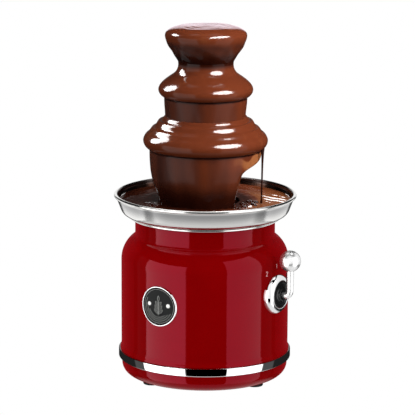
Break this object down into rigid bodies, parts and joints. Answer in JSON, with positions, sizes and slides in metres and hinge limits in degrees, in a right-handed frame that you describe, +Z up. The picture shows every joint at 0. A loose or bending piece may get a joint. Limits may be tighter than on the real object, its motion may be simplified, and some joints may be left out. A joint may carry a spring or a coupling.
{
  "type": "chocolate fountain",
  "caption": "Round table-top chocolate fountain with a glossy housing, a steel bowl, a tiered tower with an auger, a side lever and running chocolate.",
  "frame": {"origin": "on the table top, under the tower's axis", "axes": "+Z up along the tower's axis, -Y the front with the badge, +X the side with the lever"},
  "size_m": [0.2095, 0.19, 0.3743],
  "materials": {
    "red_gloss": "glossy dark red",
    "chrome": "mirror chrome plating",
    "bowl_steel": "satin stainless steel",
    "bright_steel": "plain bright steel",
    "zinc_steel": "zinc-plated steel",
    "motor_steel": "pressed steel can",
    "black_plastic": "black moulding",
    "black_rubber": "black rubber",
    "gasket_rubber": "grey silicone",
    "pale_plastic": "pale moulding",
    "brass": "turned brass",
    "heater_aluminium": "cast aluminium",
    "heater_sheath": "dull steel sheath",
    "tower_plastic": "food-safe white moulding",
    "lamp_white": "white diffuser",
    "board_green": "circuit board",
    "chocolate": "glossy liquid chocolate"
  },
  "bodies": {
    "base": {"base_ring": "red_gloss", "housing": "red_gloss", "chrome_band": "chrome", "dial_bezel": "chrome", "badge_ring": "chrome", "bowl": "bowl_steel", "bowl_studs": "bowl_steel", "tower_locators": "bowl_steel", "motor_bracket": "bright_steel", "switch_nut": "bright_steel", "cover_screws": "zinc_steel", "motor_screws": "zinc_steel", "stud_nuts": "zinc_steel", "motor_can": "motor_steel", "bottom_cover": "black_plastic", "switch_body": "black_plastic", "badge_face": "black_plastic", "rubber_feet": "black_rubber", "cord_gland": "black_rubber", "shaft_seal": "black_rubber", "bowl_gasket": "gasket_rubber", "terminal_block": "pale_plastic", "gearbox": "pale_plastic", "thermostat": "pale_plastic", "thermal_fuse": "pale_plastic", "drive_bush": "brass", "bush_nut": "brass", "heater_plate": "heater_aluminium", "heating_element": "heater_sheath", "lamp_lenses": "lamp_white", "lamp_board": "board_green", "chocolate_pool": "chocolate"},
    "drive": {"motor_shaft": "bright_steel", "shaft_coupling": "brass", "coupling_screws": "zinc_steel", "drive_shaft": "bright_steel", "drive_pin": "bright_steel"},
    "tower": {"tower_tube": "tower_plastic", "lower_tier": "tower_plastic", "middle_tier": "tower_plastic", "crown": "tower_plastic", "chocolate_crown": "chocolate", "chocolate_middle_flow": "chocolate", "chocolate_lower_flow": "chocolate", "chocolate_drip": "chocolate"},
    "auger": {"auger_core": "tower_plastic", "auger_flight": "tower_plastic"},
    "selector": {"switch_shaft": "bright_steel", "selector_hub": "black_plastic", "hub_screw": "zinc_steel", "lever_arm": "chrome", "lever_ball": "chrome"}
  },
  "joints": [
    {"name": "tower_lift", "type": "slide", "parent": "base", "child": "tower", "axis": [0, 0, 1], "range_m": [0, 0.1]},
    {"name": "auger_spin", "type": "hinge", "parent": "tower", "child": "auger", "pos_m": [0, 0, 0.2], "axis": [0, 0, 1], "continuous": true},
    {"name": "drive_spin", "type": "hinge", "parent": "base", "child": "drive", "pos_m": [0, 0, 0.2], "axis": [0, 0, 1], "continuous": true},
    {"name": "selector_turn", "type": "hinge", "parent": "base", "child": "selector", "pos_m": [0.09, 0, 0.102], "axis": [1, 0, 0], "range_deg": [-40, 40]}
  ],
  "couplings": [
    {"joint": "drive_spin", "follows": "auger_spin", "ratio": 1}
  ]
}
